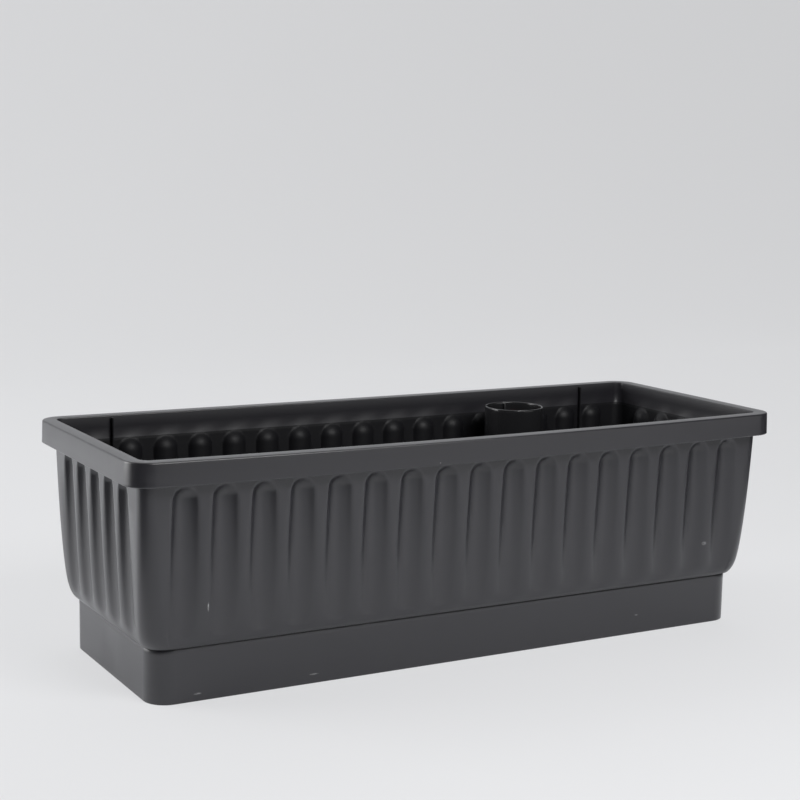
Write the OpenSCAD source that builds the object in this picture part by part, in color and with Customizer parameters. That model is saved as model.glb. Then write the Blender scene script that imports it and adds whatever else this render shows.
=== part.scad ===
// Self-watering trough planter: a fluted tub with a water reservoir in its plinth,
// a two-piece false floor with wicking cups, and a fill tube with a float gauge.
// Millimetres, +Z up. The origin is on the ground under the centre of the tub.

/* [Tub] */
// Length over the rim
rim_l = 800; // [760:5:1000]
// Depth over the rim, front to back
rim_d = 304; // [296:2:340]
// Height over the rim
total_h = 254; // [248:1:300]
// Corner radius of the rim
rim_r = 26.3; // [24:0.1:30]
// Height of the turned-down rim band
rim_band = 25; // [18:0.5:30]
// Width of the rim's top face, from the outer edge to the inner edge
rim_w = 16.9; // [16:0.1:18]
// Wall thickness of the moulding
wall_t = 2.6; // [2:0.1:3]

/* [Plinth] */
// Height of the plinth, which is the reservoir
plinth_h = 57; // [54:0.5:60]
// Setback of the plinth behind the rim's outline
plinth_setback = 31; // [31:0.1:33]
// Corner radius of the plinth
plinth_r = 24.2; // [22:0.1:26]
// Thickness of the plinth's wall and floor
plinth_t = 3; // [2.5:0.1:3]

/* [Flutes] */
// Number of flutes along each long side
flutes_long = 17; // [9:1:17]
// Number of flutes across each end
flutes_short = 5; // [3:1:5]
// Distance between flute centres
flute_pitch = 42.4; // [42:0.1:43]
// Radius of the round tool that forms a flute
flute_r = 13.8; // [13:0.1:14]

/* [False floor] */
// Thickness of the perforated plates
plate_t = 3; // [2.5:0.1:4]
// Radius of a wicking cup's mouth
cup_r = 42; // [36:1:44]
// Radius of a support leg
leg_r = 10; // [8:0.5:12]

/* [Fill tube] */
// Outer radius of the fill tube
tube_r = 35.5; // [34:0.1:36]
// Wall thickness of the fill tube
tube_t = 2; // [1.6:0.1:2.4]
// Height of the tube's mouth above the ground
tube_top = 243; // [230:1:246]
// Rise of the float between an empty and a full reservoir
float_travel = 35; // [20:1:36]

/* [Hidden] */
$fn = 64;

anthracite = [0.24, 0.24, 0.26];
charcoal = [0.16, 0.16, 0.17];
rim_z = total_h - rim_band;         // underside of the rim band
ledge_t = 3;                        // thickness of the step between plinth and wall
ledge_z = plinth_h + ledge_t;       // the false floor rests here
floor_z = plinth_t;                 // inside bottom of the reservoir
plate_top = ledge_z + plate_t;

// Wall profile, as setback behind the rim's outline at height z
wall_setback = 14.9;                // at the top of the wall
wall_lean = 3.2;                    // straight draft from top to plinth
wall_belly = 4.6;                   // extra curve towards the plinth
wall_tuck = 5.4;                    // quick turn-in just above the plinth
tuck_h = 8;                         // height over which the turn-in fades
function drop(z) = (rim_z - 9 - z) / (rim_z - 9 - ledge_z);
function setback(z) = wall_setback + wall_lean * drop(z) + wall_belly * pow(max(drop(z), 0), 3)
    + wall_tuck * exp(-(z - plinth_h - 1) / tuck_h);
function wall_r(z) = 14 + 8 * min(max(drop(z), 0), 1);

// Flutes: each is a round-ended groove between these two heights, wider in radius and shallower lower down
flute_top = rim_z - 17;             // centre of the upper round end
flute_bottom = plinth_h + 20;       // centre of the lower round end
flute_depth = 8;                    // below the wall's face at the upper end
flute_depth_low = 3;                // below the wall's face at the lower end
flute_r_low = 26;                   // radius at the lower end; flute_r is that at the upper end

// False floor
gap = 0.3;                          // clearance between parts that move apart
seat = 0.05;                        // clearance of a push fit
plate_setback = plinth_setback + 0.2;
cup_x = [-282, -88, 88, 282];
cup_flange = 5;
cup_bottom_z = floor_z + 1;
leg_at = [[-185, 0], [-35, -85], [-35, 85], [35, -85], [35, 85], [185, -35]];
leg_pin_r = 5;
clip_y = 50;
clip_peg_x = 14;
clip_peg_r = 3;

// Fill tube and float
tube_at = [178, 74];
tube_foot_z = floor_z + gap;
collar_h = 12;
guide_z = 170;
guide_h = 8;
rod_r = 2.5;
float_r = 27;
float_z = floor_z + 3;
float_h = 22;
marker_h = 16;
marker_show = 18;                   // the marker stands this far out of the tube when full
marker_top = tube_top + marker_show - float_travel;

// Outlets in the back of the plinth
back_y = rim_d / 2 - plinth_setback;
drain_at = [-250, 15];
drain_r = 7;
overflow_at = [-200, floor_z + 43];
overflow_r = 5;
boss_h = 4;

// ---------- helpers ----------

// Rounded outline set back by s behind the rim, n steps to a corner
function outline(s, r, z, n = 6) = [
    for (c = [[1, 1, 0], [-1, 1, 90], [-1, -1, 180], [1, -1, 270]])
        for (i = [0:n])
            let (a = c[2] + 90 * i / n)
            [c[0] * (rim_l / 2 - s - r) + r * cos(a), c[1] * (rim_d / 2 - s - r) + r * sin(a), z]];

// Closed solid through a stack of outlines with equal point counts
module loft(rings) {
    n = len(rings[0]);
    m = len(rings);
    polyhedron(
        points = [for (ring = rings) each ring],
        faces = concat(
            [[for (i = [0:n - 1]) i]],
            [[for (i = [n - 1:-1:0]) (m - 1) * n + i]],
            [for (k = [0:m - 2], i = [0:n - 1])
                [k * n + i, (k + 1) * n + (i + 1) % n, k * n + (i + 1) % n]],
            [for (k = [0:m - 2], i = [0:n - 1])
                [k * n + i, (k + 1) * n + i, (k + 1) * n + (i + 1) % n]]));
}

// Upright slab with exact round corners, set back by s behind the rim
module slab(s, r, z0, z1) {
    translate([0, 0, z0]) linear_extrude(z1 - z0) rounded_rect(rim_l - 2 * s, rim_d - 2 * s, r);
}

module rounded_rect(l, d, r) {
    square([l - 2 * r, d], center = true);
    square([l, d - 2 * r], center = true);
    for (x = [-1, 1], y = [-1, 1])
        translate([x * (l / 2 - r), y * (d / 2 - r)]) circle(r);
}

module tube_shape(r_out, r_in, z0, z1) {
    difference() {
        translate([0, 0, z0]) cylinder(r = r_out, h = z1 - z0);
        translate([0, 0, z0 - 1]) cylinder(r = r_in, h = z1 - z0 + 2);
    }
}

// ---------- planter tub ----------

// Section of the rim: x is measured outwards from the outline, y is height
module rim_section(x0) {
    edge = 1.9;
    lip = 1.2;
    skin = 2.6;
    translate([x0, 0]) polygon(concat(
        [[-0.6, rim_z], [0, rim_z + 0.8], [-0.9, total_h - edge]],
        [for (a = [15:15:90]) [-0.9 - edge + edge * cos(a), total_h - edge + edge * sin(a)]],
        [for (a = [90:30:180]) [-rim_w + lip + lip * cos(a), total_h - lip + lip * sin(a)]],
        [[-rim_w, rim_z - 6], [-wall_setback, rim_z - 6], [-wall_setback, total_h - skin],
         [-0.9 - skin, total_h - skin], [-skin, rim_z + 0.8], [-skin + 0.5, rim_z]]));
}

module rim() {
    for (a = [0, 180]) {
        rotate([0, 0, a]) rotate([90, 0, 90])
            linear_extrude(rim_l - 2 * rim_r, center = true) rim_section(rim_d / 2);
        rotate([0, 0, a + 90]) rotate([90, 0, 90])
            linear_extrude(rim_d - 2 * rim_r, center = true) rim_section(rim_l / 2);
    }
    for (c = [[1, 1, 0], [-1, 1, 90], [-1, -1, 180], [1, -1, 270]])
        translate([c[0] * (rim_l / 2 - rim_r), c[1] * (rim_d / 2 - rim_r), 0])
            rotate([0, 0, c[2]]) rotate_extrude(angle = 90) rim_section(rim_r);
}

// Solid bounded by the wall's face, moved inwards by t, from height z0 up to the rim
module wall_body(t, z0) {
    curve = [0, 4, 10, 19, 32, 52, 80, 120];
    heights = concat([z0], [for (h = curve) if (ledge_z + h > z0) ledge_z + h], [rim_z - 1]);
    loft([for (z = heights) outline(setback(z) + t, wall_r(z) - t, z)]);
}

// Round-ended tapered bar that forms one flute on the +Y face of a side at distance d from the middle
module flute(d, grow) {
    top_y = d - setback(flute_top) - flute_depth + flute_r;
    low_y = d - setback(flute_bottom) - flute_depth_low + flute_r_low;
    span = norm([top_y - low_y, flute_top - flute_bottom]);
    tilt = atan2(top_y - low_y, flute_top - flute_bottom);
    taper = asin((flute_r_low - flute_r) / span);
    top_r = flute_r + grow;
    low_r = flute_r_low + grow;
    translate([0, low_y, flute_bottom]) rotate([-tilt, 0, 0]) {
        // this cone touches both spheres where it meets them
        translate([0, 0, low_r * sin(taper)])
            cylinder(r1 = low_r * cos(taper), r2 = top_r * cos(taper), h = span + (top_r - low_r) * sin(taper));
        sphere(r = low_r);
        translate([0, 0, span]) sphere(r = top_r);
    }
}

module flutes(grow) {
    for (a = [0, 180]) {
        for (i = [0:flutes_long - 1])
            rotate([0, 0, a]) translate([(i - (flutes_long - 1) / 2) * flute_pitch, 0, 0])
                flute(rim_d / 2, grow);
        for (i = [0:flutes_short - 1])
            rotate([0, 0, a + 90]) translate([(i - (flutes_short - 1) / 2) * flute_pitch, 0, 0])
                flute(rim_l / 2, grow);
    }
}

// Upright ribs inside the long walls that keep stacked tubs apart
module stacking_ribs() {
    rib_t = 2;
    rib_outer = 10;                 // setbacks of the rib's buried and free faces
    rib_inner = 22;
    for (x = [-1, 1], y = [-1, 1])
        translate([x * (flutes_long / 2 - 1) * flute_pitch, y * (rim_d - rib_inner - rib_outer) / 2, total_h / 2])
            cube([rib_t, rib_inner - rib_outer, total_h + 10], center = true);
}

module cavity() {
    difference() {
        union() {
            wall_body(wall_t, ledge_z);
            slab(rim_w, rim_r - rim_w, rim_z - 1.5, total_h + 1);
        }
        flutes(wall_t);
        stacking_ribs();
    }
    slab(plinth_setback + plinth_t, plinth_r - plinth_t, floor_z, ledge_z + 0.5);
}

// Shallow flat panel in the middle of each end of the plinth
module end_panels() {
    panel_w = 19;
    panel_d = 0.8;
    for (x = [-1, 1])
        translate([x * (rim_l / 2 - plinth_setback), 0, plinth_h / 2])
            cube([2 * panel_d, panel_w, plinth_h + 1], center = true);
}

module planter_tub() {
    color(anthracite) difference() {
        union() {
            difference() {
                union() {
                    difference() {
                        wall_body(0, plinth_h);
                        flutes(0);
                    }
                    slab(plinth_setback, plinth_r, 0, plinth_h + 0.2);
                }
                cavity();
                end_panels();
            }
            rim();
            translate([overflow_at[0], back_y - 1, overflow_at[1]]) rotate([-90, 0, 0])
                cylinder(r = overflow_r + 3.5, h = boss_h + 1);
        }
        translate([overflow_at[0], back_y - 10, overflow_at[1]]) rotate([-90, 0, 0])
            cylinder(r = overflow_r, h = 20);
        translate([drain_at[0], back_y - 10, drain_at[1]]) rotate([-90, 0, 0])
            cylinder(r = drain_r, h = 20);
    }
}

// ---------- false floor ----------

module slot(l, w) {
    translate([0, 0, plate_top]) cube([l, w, 4 * plate_t], center = true);
}

// One half of the false floor; side is -1 for the left and 1 for the right
module divider(side) {
    inset = 0.2;
    slot_l = 26;
    slot_w = 3;
    rib_h = 5;
    cups = [for (x = cup_x) if (x * side > 0) x];
    legs = [for (p = leg_at) if (p[0] * side > 0) p];
    difference() {
        union() {
            intersection() {
                slab(plate_setback, plinth_r - 0.2, ledge_z, plate_top);
                translate([side * (inset + rim_l / 2), 0, ledge_z]) cube([rim_l, rim_d, 40], center = true);
            }
            for (y = [-104, 104])
                translate([side * 184, y, ledge_z - rib_h / 2]) cube([330, 2.4, rib_h], center = true);
            for (x = cups) translate([x, 0, 0]) tube_shape(cup_r + 3, cup_r + 0.5, ledge_z - 4, ledge_z + 1);
            for (p = legs) translate([p[0], p[1], 0]) tube_shape(leg_r + 2.5, leg_r + seat, ledge_z - 4, ledge_z + 1);
        }
        for (x = cups) translate([x, 0, 0]) cylinder(r = cup_r + 0.5, h = total_h);
        for (p = legs) translate([p[0], p[1], ledge_z - 1]) cylinder(r = leg_pin_r + seat, h = 20);
        for (y = [-clip_y, clip_y])
            translate([side * clip_peg_x, y, ledge_z - 1]) cylinder(r = clip_peg_r + seat, h = 20);
        if (side > 0) translate([tube_at[0], tube_at[1], ledge_z - 20]) cylinder(r = tube_r + 4, h = 40);
        for (x = [60:50:310], y = [-68, -62]) translate([side * x, y - 28, 0]) slot(slot_l, slot_w);
        for (x = side < 0 ? [60:50:310] : [60, 260, 310], y = [62, 68])
            translate([side * x, y + 28, 0]) slot(slot_l, slot_w);
        for (x = cups, y = side < 0 ? [-60, 60] : [-60]) translate([x, y, 0]) slot(slot_l, slot_w);
        for (y = [-30:10:30]) translate([side * 345, y, 0]) slot(slot_l, slot_w);
    }
}

module divider_left() { color(charcoal) divider(-1); }
module divider_right() { color(charcoal) divider(1); }

// Flat clip with two pegs that holds the halves of the false floor together
module divider_clip(y) {
    color(charcoal) translate([0, y, 0]) {
        translate([0, 0, plate_top]) linear_extrude(2) {
            square([2 * clip_peg_x, 12], center = true);
            for (x = [-1, 1]) translate([x * clip_peg_x, 0]) circle(6);
        }
        for (x = [-1, 1])
            translate([x * clip_peg_x, 0, ledge_z - 0.5]) cylinder(r = clip_peg_r, h = plate_t + 1);
    }
}

// Slotted cup of soil that reaches down into the water
module soil_cup(i) {
    wall = 2.2;
    foot_r = cup_r - 12;
    depth = plate_top - cup_bottom_z;
    color(charcoal) translate([cup_x[i - 1], 0, 0]) difference() {
        union() {
            translate([0, 0, cup_bottom_z]) cylinder(r1 = foot_r, r2 = cup_r, h = depth);
            translate([0, 0, plate_top]) cylinder(r = cup_r + cup_flange, h = 2.5);
        }
        translate([0, 0, cup_bottom_z + wall])
            cylinder(r1 = foot_r - wall, r2 = cup_r - wall, h = depth - wall);
        translate([0, 0, plate_top - 0.1]) cylinder(r = cup_r - wall, h = 5);
        for (a = [0:45:315])
            rotate([0, 0, a]) translate([cup_r, 0, cup_bottom_z + 26]) cube([50, 4, 32], center = true);
        for (a = [0:60:300])
            rotate([0, 0, a]) translate([foot_r / 2, 0, cup_bottom_z]) cylinder(r = 2.5, h = 20, center = true);
    }
}

// Hollow leg that stands on the reservoir floor and pegs into the false floor
module support_leg(i) {
    color(charcoal) translate([leg_at[i - 1][0], leg_at[i - 1][1], 0]) difference() {
        union() {
            translate([0, 0, floor_z]) cylinder(r = leg_r, h = ledge_z - floor_z);
            translate([0, 0, ledge_z - 0.1]) cylinder(r = leg_pin_r, h = plate_t + 0.1);
        }
        translate([0, 0, floor_z - 1]) cylinder(r = leg_r - 2, h = ledge_z - floor_z - 3);
        for (a = [0, 90]) rotate([0, 0, a]) translate([0, 0, floor_z]) cube([3 * leg_r, 5, 20], center = true);
    }
}

// ---------- fill tube and float gauge ----------

// Flanged ring that locates the fill tube in the false floor
module tube_collar() {
    color(charcoal) translate([tube_at[0], tube_at[1], 0]) difference() {
        union() {
            translate([0, 0, ledge_z - 2]) cylinder(r = tube_r + 4 - seat, h = plate_t + 2.1);
            translate([0, 0, plate_top]) cylinder(r = tube_r + 9, h = 2.5);
            translate([0, 0, plate_top]) cylinder(r = tube_r + 2.8, h = collar_h);
        }
        translate([0, 0, ledge_z - 10]) cylinder(r = tube_r + gap, h = 40);
    }
}

module fill_tube() {
    rib = 1.2;
    color(anthracite) translate([tube_at[0], tube_at[1], 0]) difference() {
        union() {
            tube_shape(tube_r, tube_r - tube_t, tube_foot_z, tube_top);
            rotate([0, 0, 78]) translate([tube_r - tube_t - rib / 2, 0, (tube_foot_z + tube_top) / 2])
                cube([rib + 1, rib, tube_top - tube_foot_z - 4], center = true);
        }
        for (a = [0, 90]) rotate([0, 0, a])
            translate([0, 0, tube_foot_z]) cube([3 * tube_r, 16, 36], center = true);
    }
}

// Three-armed hub inside the tube that keeps the float rod upright
module float_guide() {
    ring_r = tube_r - tube_t - seat;
    color(charcoal) translate([tube_at[0], tube_at[1], 0]) difference() {
        union() {
            tube_shape(ring_r, ring_r - 2, guide_z, guide_z + guide_h);
            translate([0, 0, guide_z]) cylinder(r = 6, h = guide_h);
            for (a = [18:120:258]) rotate([0, 0, a])
                translate([ring_r / 2, 0, guide_z + guide_h / 2]) cube([ring_r - 1, 2.4, guide_h], center = true);
        }
        translate([0, 0, guide_z - 1]) cylinder(r = rod_r + 0.1, h = guide_h + 2);
        rotate([0, 0, 78]) translate([ring_r, 0, guide_z + guide_h / 2]) cube([4, 3, guide_h + 2], center = true);
    }
}

module float_body() {
    chamfer = 3;
    color("white") translate([tube_at[0], tube_at[1], float_z]) rotate_extrude()
        polygon([[rod_r + seat, 0], [float_r - chamfer, 0], [float_r, chamfer], [float_r, float_h - chamfer],
                 [float_r - chamfer, float_h], [rod_r + seat, float_h]]);
}

module float_rod() {
    color("white") translate([tube_at[0], tube_at[1], float_z])
        cylinder(r = rod_r, h = marker_top - 4 - float_z);
}

// Bright knob on the rod that rises out of the tube when the reservoir is full
module float_marker() {
    color("red") translate([tube_at[0], tube_at[1], marker_top - marker_h]) rotate_extrude()
        polygon(concat(
            [[rod_r + seat, 0], [5, 0], [8, 5], [8, marker_h - 5]],
            [for (a = [15:15:90]) [3 + 5 * cos(a), marker_h - 5 + 5 * sin(a)]],
            [[0, marker_h], [0, marker_h - 3.9], [rod_r + seat, marker_h - 3.9]]));
}

// ---------- drain ----------

// Push-in bung with a pull tab
module drain_plug() {
    seal_t = 1.5;
    color(charcoal) translate([drain_at[0], back_y, drain_at[1]]) rotate([-90, 0, 0]) {
        translate([0, 0, -6]) cylinder(r = drain_r - seat, h = 6 + seal_t + 0.1);
        translate([0, 0, seal_t]) cylinder(r = 11, h = 3);
        difference() {
            translate([0, 0, 8]) cube([14, 3, 10], center = true);
            translate([0, 0, 9]) rotate([90, 0, 0]) cylinder(r = 2.5, h = 10, center = true);
        }
    }
}

// Flat rubber washer under the bung's head
module drain_seal() {
    seal_t = 1.5;
    color("black") translate([drain_at[0], back_y, drain_at[1]]) rotate([-90, 0, 0])
        tube_shape(10.5, drain_r, 0, seal_t);
}

planter_tub();
divider_left();
divider_right();
divider_clip(-clip_y);  // divider_clip_front
divider_clip(clip_y);  // divider_clip_back
for (i = [1:4]) soil_cup(i);
for (i = [1:6]) support_leg(i);
tube_collar();
fill_tube();
float_guide();
float_body();
float_rod();
float_marker();
drain_plug();
drain_seal();
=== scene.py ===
"""Visual model of the self-watering trough planter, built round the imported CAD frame. Metres, +Z up."""
import math

import bmesh
import bpy
import numpy as np
from mathutils import Matrix, Vector


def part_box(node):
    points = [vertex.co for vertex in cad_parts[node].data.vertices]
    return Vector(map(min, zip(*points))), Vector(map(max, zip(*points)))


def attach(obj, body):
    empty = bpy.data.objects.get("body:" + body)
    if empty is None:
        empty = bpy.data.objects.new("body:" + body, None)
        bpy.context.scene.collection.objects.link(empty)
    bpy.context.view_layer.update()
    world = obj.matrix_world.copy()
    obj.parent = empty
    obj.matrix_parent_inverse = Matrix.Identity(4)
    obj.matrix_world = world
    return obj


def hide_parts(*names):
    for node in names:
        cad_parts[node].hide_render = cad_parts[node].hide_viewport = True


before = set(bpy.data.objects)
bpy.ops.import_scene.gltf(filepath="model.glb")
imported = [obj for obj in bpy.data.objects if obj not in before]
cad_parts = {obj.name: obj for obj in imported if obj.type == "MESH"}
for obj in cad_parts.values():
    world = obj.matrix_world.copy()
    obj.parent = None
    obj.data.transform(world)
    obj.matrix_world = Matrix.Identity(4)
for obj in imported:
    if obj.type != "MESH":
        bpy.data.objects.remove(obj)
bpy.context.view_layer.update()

MM = 0.001

# ---------- driving dimensions ----------

tub_low, tub_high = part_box("planter_tub")
HALF_L = tub_high.x                     # half length over the rim
HALF_D = -tub_low.y                     # half depth over the rim
TOP_Z = tub_high.z

RIM_R = 26.3 * MM                       # corner radius of the rim
RIM_W = 16.9 * MM                       # rim's outer edge to its inner edge
RIM_Z = TOP_Z - 25 * MM                 # underside of the rim band
SKIN = 2.6 * MM                         # thickness of the moulding
PLINTH_H = 57 * MM
PLINTH_SETBACK = 31 * MM
PLINTH_R = 24.2 * MM
PLINTH_T = 3 * MM
LEDGE_Z = PLINTH_H + 3 * MM

WALL_SETBACK = 14.9                     # the wall's face behind the rim's outline, at the top, in mm
WALL_LEAN = 3.2                         # how much further in it is at the ledge, in mm
WALL_BELLY = 4.6                        # and how much more its curve adds, in mm
WALL_TUCK = 5.4                         # and its quick turn inwards above the plinth, in mm
TUCK_H = 8 * MM
WALL_R = 14                             # corner radius of the wall at the top, in mm
WALL_R_MORE = 8                         # and how much larger it is at the ledge, in mm

PITCH = 42.4 * MM                       # distance between flute centres
FLUTES_LONG = 17
FLUTES_SHORT = 5
FLUTE_R = 13.8 * MM                     # radius of a flute's section at its upper end
FLUTE_TOP = RIM_Z - 17 * MM             # centre of the round upper end
FLUTE_BOTTOM = PLINTH_H + 20 * MM       # centre of the round lower end
FLUTE_DEPTH = 8 * MM
FLUTE_DEPTH_LOW = 3 * MM                # at the lower end
FLUTE_R_LOW = 26 * MM                   # its radius at the lower end, where it is shallow
FLUTE_SOFT = 3.0 * MM                   # how far a flute's edges are rounded
FLUTE_SOFT_INSIDE = 0.8 * MM            # and those of its back, inside the tub

SAG_FRONT = 2.8 * MM                    # the long rims hang this low in the middle
SAG_BACK = 0.8 * MM
SAG_H = 170 * MM                        # from the plinth up, the sag grows over this height

RIB_X = (FLUTES_LONG / 2 - 1) * PITCH   # upright ribs inside the long walls
RIB_T = 2 * MM
RIB_SETBACK = 22 * MM                   # their free edge behind the rim's outline

PANEL_HALF_W = 11 * MM                  # shallow panel in the middle of each end of the plinth
PANEL_DEPTH = 0.7 * MM

SHARP = math.radians(38)                # shading is split at edges sharper than this


def drop(z):
    """0 near the top of the wall, 1 at the ledge."""
    return (RIM_Z - 9 * MM - z) / (RIM_Z - 9 * MM - LEDGE_Z)


def setback(z):
    """How far the wall's face stands behind the rim's outline at height z."""
    d = drop(z)
    tuck = math.exp(-(z - PLINTH_H - MM) / TUCK_H)
    return MM * (WALL_SETBACK + WALL_LEAN * d + WALL_BELLY * max(d, 0) ** 3 + WALL_TUCK * tuck)


def wall_r(z):
    """Corner radius of the wall at height z."""
    return MM * (WALL_R + WALL_R_MORE * min(max(drop(z), 0), 1))


# ---------- mesh helpers ----------

def new_object(name, vertices, faces):
    """Mesh object with smooth shading, split at its sharp edges."""
    mesh = bpy.data.meshes.new(name)
    mesh.from_pydata([tuple(v) for v in vertices], [], faces)
    mesh.validate()
    mesh.polygons.foreach_set("use_smooth", [True] * len(mesh.polygons))
    mesh.set_sharp_from_angle(angle=SHARP)
    piece = bpy.data.objects.new(name, mesh)
    bpy.context.scene.collection.objects.link(piece)
    return piece


def finish_piece(piece, body, slot, material, *nodes):
    """Puts a piece on its body in place of the CAD nodes. With material None it keeps its own."""
    if material is not None:
        piece.data.materials.clear()
        piece.data.materials.append(material)
    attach(piece, body)
    if nodes:
        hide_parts(*nodes)
    return piece


# ---------- the tub's rings ----------
# A station is one column of the tub's mesh: on a straight side (side, offset along it), or on a corner.

SIDES = [  # outward normal, direction of travel, half extent outwards, half extent along
    (np.array([0.0, -1.0]), np.array([1.0, 0.0]), HALF_D, HALF_L),
    (np.array([1.0, 0.0]), np.array([0.0, 1.0]), HALF_L, HALF_D),
    (np.array([0.0, 1.0]), np.array([-1.0, 0.0]), HALF_D, HALF_L),
    (np.array([-1.0, 0.0]), np.array([0.0, -1.0]), HALF_L, HALF_D),
]
CORNER_STEPS = 10
# stations on each side of a flute's centre line, closest where its edge turns
ACROSS_FLUTE = [u * MM for u in (4.2, 7.8, 10.2, 11.6, 12.4, 13.2, 14.6, 17.2)]


def side_offsets(flutes):
    """Offsets of a side's stations, as (offset, whether plain rings have it too)."""
    marks = []
    for k in range(flutes):
        centre = (k - (flutes - 1) / 2) * PITCH
        marks.append((centre, True))
        for u in ACROSS_FLUTE:
            marks += [(centre - u, False), (centre + u, False)]
        if k < flutes - 1:
            marks.append((centre + PITCH / 2, True))
    return sorted(marks)


def stations():
    """Every column of the tub from the front left corner round, as (side, offset, corner step, plain)."""
    found = []
    for side in range(4):
        marks = side_offsets(FLUTES_LONG if side % 2 == 0 else FLUTES_SHORT)
        for offset, plain in marks:
            found.append((side, offset, 0, plain or offset in (marks[0][0], marks[-1][0])))
        for step in range(CORNER_STEPS + 1):
            found.append((side, None, step, True))
    return found


STATIONS = stations()
PLAIN = [i for i, s in enumerate(STATIONS) if s[3]]
REACH = [max(s[1] for s in STATIONS if s[0] == side and s[1] is not None) for side in range(4)]


def flute_depth(offset, z, grow, soft):
    """Depth of the flute below the wall's face, for the tool grown by that much. soft rounds its edges."""
    nearest = round(offset / PITCH) * PITCH
    u = offset - nearest
    share = (z - FLUTE_BOTTOM) / (FLUTE_TOP - FLUTE_BOTTOM)
    low = setback(FLUTE_BOTTOM) + FLUTE_DEPTH_LOW
    top = setback(FLUTE_TOP) + FLUTE_DEPTH
    held = min(max(share, 0), 1)
    floor = low + (top - low) * held                     # setback of the flute's floor
    beyond = (share - held) * (FLUTE_TOP - FLUTE_BOTTOM)  # past the centre of a round end
    radius = FLUTE_R_LOW + (FLUTE_R - FLUTE_R_LOW) * held
    chord = (radius + grow) ** 2 - u ** 2 - beyond ** 2
    depth = math.sqrt(max(chord, 0)) - radius - grow + floor - setback(z)
    return 0.5 * (depth + math.hypot(depth, soft))


def sagged(point):
    """The long sides hang a little between the corners, more at the front."""
    x, y, z = point
    back = (y + HALF_D) / (2 * HALF_D)
    amount = SAG_FRONT + (SAG_BACK - SAG_FRONT) * back
    rise = min(max((z - PLINTH_H) / SAG_H, 0), 1)
    return (x, y, z - amount * (1 - (x / HALF_L) ** 2) * rise)


def ring(s, r, z, flute=None, plain=False, panel=0.0):
    """Points of one ring: set back by s, corner radius r. panel is the depth of the ends' panels there.

    flute is None, or how much the flutes' tool is grown: 0 for the outside, the skin's thickness inside.
    """
    points = []
    for i in (PLAIN if plain else range(len(STATIONS))):
        side, offset, step, _ = STATIONS[i]
        normal, along, out, half = SIDES[side]
        straight = half - s - r
        if offset is not None:
            shrink = min(1.0, (straight - 0.5 * MM) / REACH[side])
            sunk = 0.0
            if flute is not None and PLINTH_H + 6 * MM < z < RIM_Z - MM:
                soft = FLUTE_SOFT_INSIDE if flute else FLUTE_SOFT
                sunk = flute_depth(offset, z, flute, soft)
            if panel and side % 2 == 1 and abs(offset) < PANEL_HALF_W:
                sunk = panel
            x, y = normal * (out - s - sunk) + along * offset * shrink
        else:
            following = SIDES[(side + 1) % 4]
            angle = math.radians(90 * step / CORNER_STEPS)
            centre = normal * (out - s - r) + along * straight
            x, y = centre + r * (normal * math.cos(angle) + following[0] * math.sin(angle))
        points.append(sagged((x, y, z)))
    return points


def arc(s, z, radius, start, end, steps):
    """Points of a section's arc, as (setback, height); angles in degrees, 0 pointing outwards."""
    return [(s - radius * math.cos(math.radians(a)), z + radius * math.sin(math.radians(a)))
            for a in np.linspace(start, end, steps + 1)]


class Loft:
    """Collects rings of full or plain stations and joins each to the one before."""

    def __init__(self):
        self.vertices = []
        self.faces = []
        self.last = None
        self.inside = 0                                  # faces from this one on line the inside

    def add(self, points, plain):
        start = len(self.vertices)
        self.vertices += points
        if self.last is not None:
            self.join(self.last, (start, plain))
        self.last = (start, plain)
        return start

    def join(self, below, above):
        (a, a_plain), (b, b_plain) = below, above
        if a_plain == b_plain:
            n = len(PLAIN) if a_plain else len(STATIONS)
            for i in range(n):
                j = (i + 1) % n
                self.faces.append((a + i, a + j, b + j, b + i))
            return
        n = len(PLAIN)
        total = len(STATIONS)
        for i in range(n):                               # a fan of triangles for each plain step
            first, second = PLAIN[i], PLAIN[(i + 1) % n]
            count = (second - first) % total
            dense = [(first + k) % total for k in range(count + 1)]
            j = (i + 1) % n
            middle = count // 2
            full, coarse = (b, a) if a_plain else (a, b)
            made = [(full + dense[k], full + dense[k + 1], coarse + (i if k < middle else j))
                    for k in range(count)]
            made.append((coarse + i, full + dense[middle], coarse + j))
            self.faces += [f[::-1] for f in made] if a_plain else made

    def cap(self, start, z, up):
        """Closes a plain ring with a fan to its centre."""
        n = len(PLAIN)
        centre = len(self.vertices)
        self.vertices.append((0.0, 0.0, z))
        for i in range(n):
            j = (i + 1) % n
            self.faces.append((start + i, start + j, centre) if up else (start + j, start + i, centre))


def heights(low, high, coarse, fine_at):
    """Heights from low to high, coarse apart, with the zones of fine_at, as (from, to, step), closer."""
    marks = set(np.round(np.arange(low, high, coarse), 6)) | {round(high, 6)}
    for z0, z1, step in fine_at:
        marks = {z for z in marks if z < z0 or z > z1}
        marks |= set(np.round(np.arange(z0, z1 + step / 2, step), 6))
    return sorted(z for z in marks if low <= z <= high)


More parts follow.
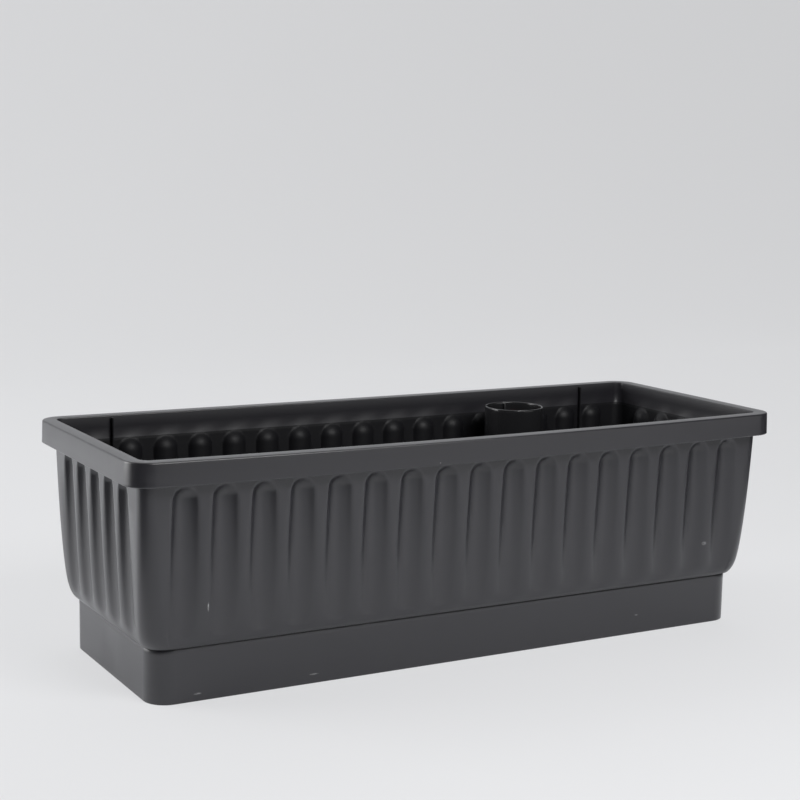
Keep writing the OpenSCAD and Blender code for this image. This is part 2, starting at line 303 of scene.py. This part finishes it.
def tub_mesh():
    """The moulding, as one closed surface from the underside over the rim to the reservoir's floor."""
    loft = Loft()
    recess = 1.1 * MM                                    # the underside is hollowed by this
    foot = 12 * MM                                       # width of the ring that the tub stands on
    first = loft.add(ring(PLINTH_SETBACK + foot + recess, PLINTH_R - foot, recess, plain=True), True)
    loft.cap(first, recess, up=False)
    loft.add(ring(PLINTH_SETBACK + foot, PLINTH_R - foot, 0, plain=True), True)
    for s, z in arc(PLINTH_SETBACK + 0.9 * MM, 0.7 * MM, 0.7 * MM, -90, 0, 3):
        loft.add(ring(s, PLINTH_R - 0.2 * MM, z, plain=True), True)
    loft.add(ring(PLINTH_SETBACK + 0.15 * MM, PLINTH_R, 4 * MM, plain=True), True)
    for z in (5 * MM, 27 * MM, 50 * MM):
        loft.add(ring(PLINTH_SETBACK + 0.1 * MM, PLINTH_R, z, plain=True, panel=PANEL_DEPTH), True)
    loft.add(ring(PLINTH_SETBACK, PLINTH_R, 51 * MM, plain=True), True)
    # a narrow groove under the wall, as (setback from the plinth's face, height) in mm
    groove = [(0.0, 55.6), (0.25, 56.1), (1.0, 56.5), (1.1, 57.2), (0.2, 57.8), (-0.9, 58.0), (-1.5, 58.3)]
    for out, z in groove[:4]:
        loft.add(ring(PLINTH_SETBACK + out * MM, PLINTH_R, z * MM, plain=True), True)
    for out, z in groove[4:]:
        loft.add(ring(PLINTH_SETBACK + out * MM, PLINTH_R, z * MM), False)
    zones = [(58.8 * MM, 74 * MM, 1.3 * MM), (199 * MM, RIM_Z - MM, 1.45 * MM)]
    for z in heights(58.8 * MM, RIM_Z - MM, 7 * MM, zones):
        loft.add(ring(setback(z), wall_r(z), z, flute=0.0), False)
    # the turned-down rim: up inside it, over its skirt, shoulder, top and inner lip
    wall_s, wall_radius = setback(RIM_Z), wall_r(RIM_Z)
    loft.add(ring(wall_s, wall_radius, RIM_Z + 6 * MM, plain=True), True)
    under = TOP_Z - SKIN
    loft.add(ring(wall_s, wall_radius, under, plain=True), True)
    section = [(3.5 * MM, under), (SKIN, RIM_Z + 1.2 * MM)]
    section += arc(1.2 * MM, RIM_Z + 1.0 * MM, 1.0 * MM, 240, 360, 5)
    section += [(0.35 * MM, RIM_Z + 2.6 * MM), (0.5 * MM, RIM_Z + 8 * MM)]
    section += arc(2.8 * MM, TOP_Z - 1.9 * MM, 1.9 * MM, 0, 90, 5)
    section += [(9 * MM, TOP_Z)]
    section += arc(RIM_W - 1.2 * MM, TOP_Z - 1.2 * MM, 1.2 * MM, 90, 180, 4)
    section += [(RIM_W, RIM_Z + 12 * MM), (RIM_W, RIM_Z - 1.0 * MM)]
    for s, z in section:
        loft.add(ring(s, RIM_R - s, z, plain=True), True)
    loft.inside = len(loft.faces)
    # inner face of the wall, with the backs of the flutes
    zones = [(64 * MM, 74 * MM, 2 * MM), (199 * MM, RIM_Z - 2 * MM, 1.5 * MM)]
    for z in reversed(heights(LEDGE_Z + 0.5 * MM, RIM_Z - 2 * MM, 9 * MM, zones)):
        loft.add(ring(setback(z) + SKIN, wall_r(z) - SKIN, z, flute=SKIN), False)
    inner_s = PLINTH_SETBACK + PLINTH_T
    inner_r = PLINTH_R - PLINTH_T
    loft.add(ring(setback(LEDGE_Z) + SKIN + MM, wall_r(LEDGE_Z) - SKIN, LEDGE_Z, plain=True), True)
    loft.add(ring(inner_s - 0.5 * MM, inner_r, LEDGE_Z, plain=True), True)
    loft.add(ring(inner_s, inner_r, LEDGE_Z - 0.5 * MM, plain=True), True)
    for s, z in arc(inner_s + 2 * MM, PLINTH_T + 2 * MM, 2 * MM, 0, -90, 4):
        last = loft.add(ring(s, inner_r, z, plain=True), True)
    loft.cap(last, PLINTH_T, up=True)
    return loft


def add_shell(loft, vertices, faces):
    """Adds a separate closed shell, such as a rib, to the moulding."""
    start = len(loft.vertices)
    loft.vertices += vertices
    loft.faces += [tuple(start + i for i in face) for face in faces]


def rib_shell(x, side):
    """A thin upright rib inside a long wall that keeps stacked tubs apart. Its free edge is rounded."""
    half_t = RIB_T / 2
    buried = HALF_D - setback(RIM_Z) - MM
    free = HALF_D - RIB_SETBACK
    outline = [(-half_t, buried), (-half_t, free + half_t)]
    outline += [(half_t * math.cos(a), free + half_t + half_t * math.sin(a))
                for a in np.linspace(math.pi, 2 * math.pi, 5)]
    outline += [(half_t, free + half_t), (half_t, buried)]
    levels = [LEDGE_Z + 4 * MM, 150 * MM, RIM_Z, TOP_Z - 3.2 * MM, TOP_Z - 2.6 * MM]
    vertices = []
    for level in levels:
        lean = max(setback(level) - setback(RIM_Z), 0) if level < RIM_Z else 0
        for u, v in outline:
            vertices.append(sagged((x + u * side, side * (v - lean), level)))
    n = len(outline)
    faces = [tuple(range(n))[::-1], tuple((len(levels) - 1) * n + i for i in range(n))]
    for k in range(len(levels) - 1):
        for i in range(n):
            j = (i + 1) % n
            faces.append((k * n + i, k * n + j, (k + 1) * n + j, (k + 1) * n + i))
    return vertices, [f[::-1] for f in faces]


def cut(piece, cutter):
    """Cuts one object out of another, removes the cutter and marks the sharp edges again."""
    modifier = piece.modifiers.new("cut", "BOOLEAN")
    modifier.operation = "DIFFERENCE"
    modifier.solver = "EXACT"
    modifier.object = cutter
    evaluated = piece.evaluated_get(bpy.context.evaluated_depsgraph_get())
    mesh = bpy.data.meshes.new_from_object(evaluated)
    piece.modifiers.clear()
    piece.data = mesh
    piece.data.set_sharp_from_angle(angle=SHARP)
    bpy.data.objects.remove(cutter)


def lathe(name, profile, at, axis_matrix=None, segments=64, closed=True):
    """Turns a profile of (radius, height) about a vertical axis through at, tilted by the matrix if given."""
    vertices, faces = [], []
    n = len(profile)
    for k in range(segments):
        angle = 2 * math.pi * k / segments
        for radius, height in profile:
            point = Vector((radius * math.cos(angle), radius * math.sin(angle), height))
            if axis_matrix is not None:
                point = axis_matrix @ point
            vertices.append(point + Vector(at))
    for k in range(segments):
        m = (k + 1) % segments
        for i in range(n if closed else n - 1):
            j = (i + 1) % n
            faces.append((k * n + i, m * n + i, m * n + j, k * n + j))
    piece = new_object(name, vertices, faces)
    clean = bmesh.new()
    clean.from_mesh(piece.data)
    bmesh.ops.remove_doubles(clean, verts=clean.verts, dist=1e-6)
    bmesh.ops.recalc_face_normals(clean, faces=clean.faces)
    clean.to_mesh(piece.data)
    clean.free()
    return piece


# ---------- finishes ----------

SCUFFS = [  # marks on the tub's front: centre x and z, half width, half height, all in mm, and strength
    (-313, 100, 0.9, 5.0, 0.75),
    (-320, 8, 4.5, 1.0, 0.5),
    (-190, 10, 6.0, 0.8, 0.4),
    (315, 101, 3.2, 2.4, 0.35),
    (228, 22, 3.0, 1.0, 0.35),
    (-60, 229.5, 1.0, 0.6, 0.6),
]
SCUFF_COLOUR = (0.42, 0.42, 0.42)


class Graph:
    """Short names for building a material's nodes."""

    def __init__(self, name):
        self.material = bpy.data.materials.new(name)
        self.material.use_nodes = True
        self.tree = self.material.node_tree
        self.shader = self.tree.nodes["Principled BSDF"]
        self.coords = self.tree.nodes.new("ShaderNodeTexCoord").outputs["Object"]

    def link(self, source, target):
        self.tree.links.new(source, target)

    def noise(self, scale, detail=3.0, roughness=0.5):
        node = self.tree.nodes.new("ShaderNodeTexNoise")
        node.inputs["Scale"].default_value = scale
        node.inputs["Detail"].default_value = detail
        node.inputs["Roughness"].default_value = roughness
        self.link(self.coords, node.inputs["Vector"])
        return node.outputs["Fac"]

    def fit(self, value, from_low, from_high, to_low, to_high):
        node = self.tree.nodes.new("ShaderNodeMapRange")
        node.inputs["From Min"].default_value = from_low
        node.inputs["From Max"].default_value = from_high
        node.inputs["To Min"].default_value = to_low
        node.inputs["To Max"].default_value = to_high
        self.link(value, node.inputs["Value"])
        return node.outputs["Result"]

    def maths(self, operation, a, b=None):
        node = self.tree.nodes.new("ShaderNodeMath")
        node.operation = operation
        for socket, value in zip(node.inputs, (a, b)):
            if isinstance(value, (int, float)):
                socket.default_value = value
            elif value is not None:
                self.link(value, socket)
        return node.outputs[0]

    def mix(self, factor, low, high):
        node = self.tree.nodes.new("ShaderNodeMix")
        node.data_type = "RGBA"
        self.link(factor, node.inputs["Factor"])
        for name, colour in (("A", low), ("B", high)):
            socket = next(s for s in node.inputs if s.name == name and s.type == "RGBA")
            if isinstance(colour, bpy.types.NodeSocket):
                self.link(colour, socket)
            else:
                socket.default_value = (*colour, 1)
        return next(s for s in node.outputs if s.type == "RGBA")

    def bump(self, height, strength, distance):
        node = self.tree.nodes.new("ShaderNodeBump")
        node.inputs["Strength"].default_value = strength
        node.inputs["Distance"].default_value = distance
        self.link(height, node.inputs["Height"])
        self.link(node.outputs["Normal"], self.shader.inputs["Normal"])


def scuff_mask(g, marks):
    """How scuffed each point of the front is, from 0 to 1: soft-edged ovals, broken up by noise."""
    split = g.tree.nodes.new("ShaderNodeSeparateXYZ")
    g.link(g.coords, split.inputs["Vector"])
    front = g.maths("LESS_THAN", split.outputs["Y"], -0.5 * HALF_D)
    broken = g.fit(g.noise(500, 3, 0.7), 0.35, 0.6, 0.2, 1.0)
    scuffed = None
    for x, z, half_w, half_h, strength in marks:
        dx = g.maths("DIVIDE", g.maths("SUBTRACT", split.outputs["X"], x * MM), half_w * MM)
        dz = g.maths("DIVIDE", g.maths("SUBTRACT", split.outputs["Z"], z * MM), half_h * MM)
        away = g.maths("SQRT", g.maths("ADD", g.maths("MULTIPLY", dx, dx), g.maths("MULTIPLY", dz, dz)))
        mark = g.maths("MULTIPLY", g.fit(away, 0.5, 1.1, strength, 0.0), broken)
        scuffed = mark if scuffed is None else g.maths("MAXIMUM", scuffed, mark)
    return g.maths("MULTIPLY", scuffed, front)


def plastic(name, colour, worn, roughness, spread=0.08, grain=0.012, gloss=0.5, marks=()):
    """Moulded plastic: uneven roughness, a fine grain, faint cloudy wear and, at marks, pale scuffs."""
    g = Graph(name)
    g.shader.inputs["IOR"].default_value = 1.5
    g.shader.inputs["Specular IOR Level"].default_value = gloss
    shade = g.mix(g.noise(9, 2, 0.5), colour, worn)
    if marks:
        shade = g.mix(scuff_mask(g, marks), shade, SCUFF_COLOUR)
    g.link(shade, g.shader.inputs["Base Color"])
    uneven = g.fit(g.noise(14, 2, 0.5), 0.0, 1.0, roughness - spread, roughness + spread)
    g.link(uneven, g.shader.inputs["Roughness"])
    fine, coarse = g.noise(420, 1, 0.5), g.noise(60, 1, 0.5)
    g.bump(g.maths("ADD", fine, g.maths("MULTIPLY", coarse, 0.5)), grain, 1.5 * MM)
    return g.material


def foam(name):
    """Closed-cell foam: pale, with small cells."""
    g = Graph(name)
    cells = g.tree.nodes.new("ShaderNodeTexVoronoi")
    cells.inputs["Scale"].default_value = 380
    g.link(g.coords, cells.inputs["Vector"])
    g.link(g.mix(g.fit(cells.outputs["Distance"], 0, 0.8, 0, 1), (0.72, 0.72, 0.7), (0.82, 0.82, 0.8)),
           g.shader.inputs["Base Color"])
    g.link(g.fit(g.noise(50), 0.3, 0.7, 0.75, 0.92), g.shader.inputs["Roughness"])
    g.bump(cells.outputs["Distance"], 0.35, 0.4 * MM)
    return g.material


TUB_DARK = (0.0140, 0.0135, 0.0165)
TUB_WORN = (0.0170, 0.0165, 0.0195)
tub_finish = plastic("tub_plastic", TUB_DARK, TUB_WORN, 0.34, spread=0.03, marks=SCUFFS)
# the inside is the same plastic as the outside, given darker colours: painted shade for the dim inside of the
# tub; the cloud between the two tones is random unevenness
LINING_SHADED_DARK = (0.0060, 0.0060, 0.0072)
LINING_SHADED_WORN = (0.0085, 0.0085, 0.0098)
painted_shade_lining = plastic("tub_lining_painted_shade", LINING_SHADED_DARK, LINING_SHADED_WORN, 0.5, gloss=0.2)
tube_finish = plastic("tube_plastic", (0.011, 0.011, 0.012), (0.014, 0.014, 0.015), 0.2)
inner_finish = plastic("inner_plastic", (0.012, 0.012, 0.013), (0.016, 0.016, 0.017), 0.45)
rod_finish = plastic("rod_plastic", (0.66, 0.66, 0.64), (0.72, 0.72, 0.70), 0.35)
marker_finish = plastic("marker_plastic", (0.55, 0.03, 0.02), (0.60, 0.05, 0.03), 0.32)
rubber_finish = plastic("plug_rubber", (0.018, 0.018, 0.019), (0.028, 0.028, 0.029), 0.7, grain=0.03)
foam_finish = foam("float_foam")

# ---------- the tub ----------

OUTLET = Vector((-200 * MM, HALF_D - PLINTH_SETBACK, 46 * MM))
OUTLET_R = 5 * MM
BOSS_R = 8 * MM
BOSS_OUT = 4 * MM
DRAIN = Vector((-250 * MM, HALF_D - PLINTH_SETBACK, 15 * MM))
DRAIN_R = 7 * MM

moulding = tub_mesh()
for rib_x in (-RIB_X, RIB_X):
    for rib_side in (-1, 1):
        add_shell(moulding, *rib_shell(rib_x, rib_side))
tub = new_object("tub_moulding", moulding.vertices, moulding.faces)
# the inside's faces take the lining, whose darker colour is painted shade
shaded_lining_mask = [int(i >= moulding.inside) for i in range(len(moulding.faces))]
tub.data.materials.append(tub_finish)
tub.data.materials.append(painted_shade_lining)
tub.data.polygons.foreach_set("material_index", shaded_lining_mask)

FACE_BACK = Matrix.Rotation(math.radians(-90), 3, "X")   # turns +Z to +Y

for centre, radius in ((OUTLET, OUTLET_R), (DRAIN, DRAIN_R)):
    hole = [(0, -2 * PLINTH_T), (radius, -2 * PLINTH_T), (radius, 2 * BOSS_OUT), (0, 2 * BOSS_OUT)]
    cut(tub, lathe("cutter", hole, centre, FACE_BACK, closed=False))
finish_piece(tub, "tub", "tub_plastic", None, "planter_tub")

BOSS_EDGE = 0.6 * MM                    # rounding of the boss's outer edge
BORE_EDGE = 0.3 * MM
boss_profile = [(OUTLET_R, -PLINTH_T / 2), (BOSS_R, -PLINTH_T / 2), (BOSS_R, BOSS_OUT - BOSS_EDGE)]
boss_profile += [(BOSS_R - BOSS_EDGE * (1 - math.cos(a)), BOSS_OUT - BOSS_EDGE * (1 - math.sin(a)))
                 for a in np.linspace(0.3, math.pi / 2, 4)]
boss_profile += [(OUTLET_R + BORE_EDGE, BOSS_OUT), (OUTLET_R, BOSS_OUT - BORE_EDGE)]
boss = lathe("overflow_boss", boss_profile, OUTLET, FACE_BACK)
finish_piece(boss, "tub", "tub_plastic", tub_finish)

# ---------- the fill tube ----------

tube_low, tube_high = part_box("fill_tube")
TUBE_R = (tube_high.x - tube_low.x) / 2
TUBE_T = 2 * MM
tube_at = Vector(((tube_high.x + tube_low.x) / 2, (tube_high.y + tube_low.y) / 2, 0))
TUBE_IN = TUBE_R - TUBE_T
LIP_R = 0.98 * MM                       # the mouth's edge is nearly a half circle
FOOT_EDGE = 0.3 * MM
straight = np.linspace(tube_low.z + 40 * MM, tube_high.z - 4 * MM, 5)
tube_section = [(TUBE_R, tube_low.z + FOOT_EDGE)]
tube_section += [(TUBE_R, z) for z in straight]
tube_section += [(TUBE_R - TUBE_T / 2 + LIP_R * math.cos(a), tube_high.z - LIP_R + LIP_R * math.sin(a))
                 for a in np.linspace(0.1, math.pi - 0.1, 8)]
tube_section += [(TUBE_IN, z) for z in straight[::-1]]
tube_section += [(TUBE_IN, tube_low.z + FOOT_EDGE)]
tube_section += [(TUBE_IN + FOOT_EDGE, tube_low.z), (TUBE_R - FOOT_EDGE, tube_low.z)]
tube = lathe("filler_tube", tube_section, tube_at, segments=144)

# four notches with rounded tops let the water out at the tube's foot
NOTCH_W = 16 * MM
NOTCH_H = 18 * MM
NOTCH_R = 2 * MM
quarter = np.linspace(0, math.pi / 2, 5)
side_u, top_v = NOTCH_W / 2 - NOTCH_R, NOTCH_H - NOTCH_R
arch = [(-NOTCH_W / 2, -NOTCH_H), (NOTCH_W / 2, -NOTCH_H)]
arch += [(side_u + NOTCH_R * math.cos(a), top_v + NOTCH_R * math.sin(a)) for a in quarter]
arch += [(-side_u - NOTCH_R * math.sin(a), top_v + NOTCH_R * math.cos(a)) for a in quarter]
for turn in (0, 90):
    spin = Matrix.Rotation(math.radians(turn), 3, "Z")
    corners = [spin @ Vector((reach, u, v)) + tube_at + Vector((0, 0, tube_low.z))
               for reach in (-1.5 * TUBE_R, 1.5 * TUBE_R) for u, v in arch]
    n = len(arch)
    arch_faces = [tuple(range(n))[::-1], tuple(range(n, 2 * n))]
    arch_faces += [(i, (i + 1) % n, n + (i + 1) % n, n + i) for i in range(n)]
    cut(tube, new_object("cutter", corners, arch_faces))
finish_piece(tube, "tube", "tube_plastic", tube_finish, "fill_tube")


def key_mesh():
    """The rib down the inside of the tube that keeps the float's guide from turning, as (vertices, faces)."""
    turn, width = 78, 3 * MM
    ease = 0.4 * MM                     # its top edge is cut back by this
    spin = Matrix.Rotation(math.radians(turn), 3, "Z")
    outer, inner = TUBE_R - 1.2 * MM, TUBE_IN - width
    outline = [(outer, -width / 2), (outer, width / 2)]
    outline += [(inner + width / 2 * (1 - math.cos(a)), width / 2 * math.sin(a))
                for a in np.linspace(math.pi / 2, -math.pi / 2, 7)]
    levels = [(tube_low.z + 2 * MM, 0), (tube_high.z - 2.6 * MM, 0), (tube_high.z - 2 * MM, ease)]
    vertices = [spin @ Vector((max(u, inner + back), v, 0)) + tube_at + Vector((0, 0, level))
                for level, back in levels for u, v in outline]
    n, last = len(outline), len(levels) - 1
    faces = [tuple(range(n)), tuple(range(last * n, (last + 1) * n))[::-1]]
    faces += [(k * n + i, (k + 1) * n + i, (k + 1) * n + (i + 1) % n, k * n + (i + 1) % n)
              for k in range(last) for i in range(n)]
    return vertices, faces


finish_piece(new_object("float_key", *key_mesh()), "tube", "tube_plastic", tube_finish)

# ---------- the inner parts ----------

FINISHES = {
    "inner_plastic": inner_finish, "float_foam": foam_finish, "float_rod_plastic": rod_finish,
    "marker_plastic": marker_finish, "plug_rubber": rubber_finish,
}
NODE_SLOTS = {
    "float_body": "float_foam", "float_rod": "float_rod_plastic", "float_marker": "marker_plastic",
    "drain_plug": "plug_rubber", "drain_seal": "plug_rubber",
}
EDGE_W = 0.35 * MM                      # rounding of the inner parts' edges
for node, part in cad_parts.items():
    if node in ("planter_tub", "fill_tube"):
        continue
    part.data.materials.clear()
    part.data.materials.append(FINISHES[NODE_SLOTS.get(node, "inner_plastic")])
    weld = part.modifiers.new("weld", "WELD")
    weld.merge_threshold = 0.01 * MM
    bevel = part.modifiers.new("edges", "BEVEL")
    bevel.width = EDGE_W
    bevel.segments = 2
    bevel.limit_method = "ANGLE"
    bevel.angle_limit = math.radians(40)
    bevel.harden_normals = True

# ---------- floor, backdrop and light ----------

def stage_plane(name, size, at, facing, material):
    """A flat rectangle of that size centred at a point, facing that way."""
    half_w, half_h = size[0] / 2, size[1] / 2
    mesh = bpy.data.meshes.new(name)
    corners = [(-half_w, -half_h, 0), (half_w, -half_h, 0), (half_w, half_h, 0), (-half_w, half_h, 0)]
    mesh.from_pydata(corners, [], [(0, 1, 2, 3)])
    plane = bpy.data.objects.new(name, mesh)
    plane.location = at
    plane.rotation_euler = Vector(facing).to_track_quat("Z", "Y").to_euler()
    mesh.materials.append(material)
    bpy.context.scene.collection.objects.link(plane)
    return plane


def plain_finish(name, colour, glow=0.0):
    """A pale, faintly uneven surface that may glow."""
    g = Graph(name)
    shade = g.mix(g.noise(2.5), tuple(0.99 * c for c in colour), colour)
    g.link(shade, g.shader.inputs["Base Color"])
    g.link(shade, g.shader.inputs["Emission Color"])
    g.shader.inputs["Emission Strength"].default_value = glow
    g.shader.inputs["Roughness"].default_value = 0.9
    g.shader.inputs["Specular IOR Level"].default_value = 0.2
    return g.material


def sweep(name, profile, width, material):
    """A floor that curves up into a backdrop; profile is a list of (y, z)."""
    vertices = [(side * width / 2, y, z) for y, z in profile for side in (-1, 1)]
    faces = [(2 * k, 2 * k + 1, 2 * k + 3, 2 * k + 2) for k in range(len(profile) - 1)]
    mesh = bpy.data.meshes.new(name)
    mesh.from_pydata(vertices, [], faces)
    mesh.polygons.foreach_set("use_smooth", [True] * len(mesh.polygons))
    mesh.materials.append(material)
    piece = bpy.data.objects.new(name, mesh)
    bpy.context.scene.collection.objects.link(piece)
    return piece


# the papers glow a little, in place of the white studio out of view; the seen one is for the camera alone
PAPER = (0.78, 0.79, 0.81)
BACKDROP_GLOW = 0.80
TABLE_GLOW = 0.45
SEEN_PAPER = (0.17, 0.171, 0.174)
SEEN_GLOW = 3.45
backdrop_paper = plain_finish("backdrop_paper", PAPER, BACKDROP_GLOW)
table_paper = plain_finish("table_paper", PAPER, TABLE_GLOW)
seen_paper = plain_finish("seen_paper", SEEN_PAPER, SEEN_GLOW)

# what lights the object: a table that ends near it on the front and the left, and a backdrop
TABLES = [("table", (-0.78, 1.0), (-1.25, 3.2)), ("table_left", (-2.6, -0.78), (0.1, 3.2))]
for name, (low_x, high_x), (low_y, high_y) in TABLES:
    table = stage_plane(name, (high_x - low_x, high_y - low_y),
                        ((low_x + high_x) / 2, (low_y + high_y) / 2, -2 * MM), (0, 0, 1), table_paper)
    table.visible_camera = False
wall = stage_plane("backdrop", (14, 7), (0, 4.5, 3.4), (0, -1, 0), backdrop_paper)
wall.visible_camera = False

# what the camera sees: one sheet of paper that runs on and curves up
BEND_Y, BEND_R = 2.0, 1.6
PAPER_Z = -0.3 * MM
paper_line = [(y, PAPER_Z) for y in (-6, 0, BEND_Y)]
paper_line += [(BEND_Y + BEND_R * math.sin(a), BEND_R * (1 - math.cos(a)))
               for a in np.linspace(0.1, math.pi / 2, 16)]
paper_line += [(BEND_Y + BEND_R, 8)]
seen = sweep("paper_sweep", paper_line, 14, seen_paper)
seen.visible_glossy = False
seen.visible_diffuse = False
seen.visible_shadow = False


def area_light(name, at, size, power):
    """A soft box aimed at the object's middle. Its power is in watts."""
    light = bpy.data.lights.new(name, "AREA")
    light.shape = "RECTANGLE"
    light.size, light.size_y = size
    light.energy = power
    lamp = bpy.data.objects.new(name, light)
    lamp.location = at
    lamp.rotation_euler = (Vector(at) - Vector((0, 0, 0.12))).to_track_quat("Z", "Y").to_euler()
    bpy.context.scene.collection.objects.link(lamp)


area_light("key", (0.15, -1.2, 1.15), (0.9, 0.5), 20)
area_light("front_card", (1.9, -3.0, 0.5), (2.6, 1.5), 13)
area_light("top", (0.1, 1.0, 2.9), (3.4, 2.4), 26)
area_light("left", (-2.3, 1.3, 0.9), (1.6, 1.8), 62)

world = bpy.data.worlds.new("studio")
bpy.context.scene.world = world
world.use_nodes = True
background = world.node_tree.nodes["Background"]
background.inputs["Color"].default_value = (0.94, 0.96, 1.0, 1)
background.inputs["Strength"].default_value = 0.06
bpy.context.scene.view_settings.view_transform = "Standard"

# ---------- camera ----------

# place and angles, in radians, of the camera that took the photograph, as fitted to it
CAMERA_AT = Vector((-0.938971, -1.625936, 0.555432))
YAW, PITCH_DOWN, ROLL = 0.512282, 0.150418, 0.018279
camera_data = bpy.data.cameras.new("camera")
camera_data.sensor_width = 36
camera_data.lens = 75.076
camera = bpy.data.objects.new("camera", camera_data)
level_ahead = math.cos(PITCH_DOWN)
ahead = Vector((math.sin(YAW) * level_ahead, math.cos(YAW) * level_ahead, -math.sin(PITCH_DOWN)))
level_right = Vector((math.cos(YAW), -math.sin(YAW), 0))
level_up = level_right.cross(ahead)
right = math.cos(ROLL) * level_right + math.sin(ROLL) * level_up
up = math.cos(ROLL) * level_up - math.sin(ROLL) * level_right
turn_to = Matrix((right, up, -ahead)).transposed().to_4x4()
camera.matrix_world = Matrix.Translation(CAMERA_AT) @ turn_to
bpy.context.scene.collection.objects.link(camera)
bpy.context.scene.camera = camera
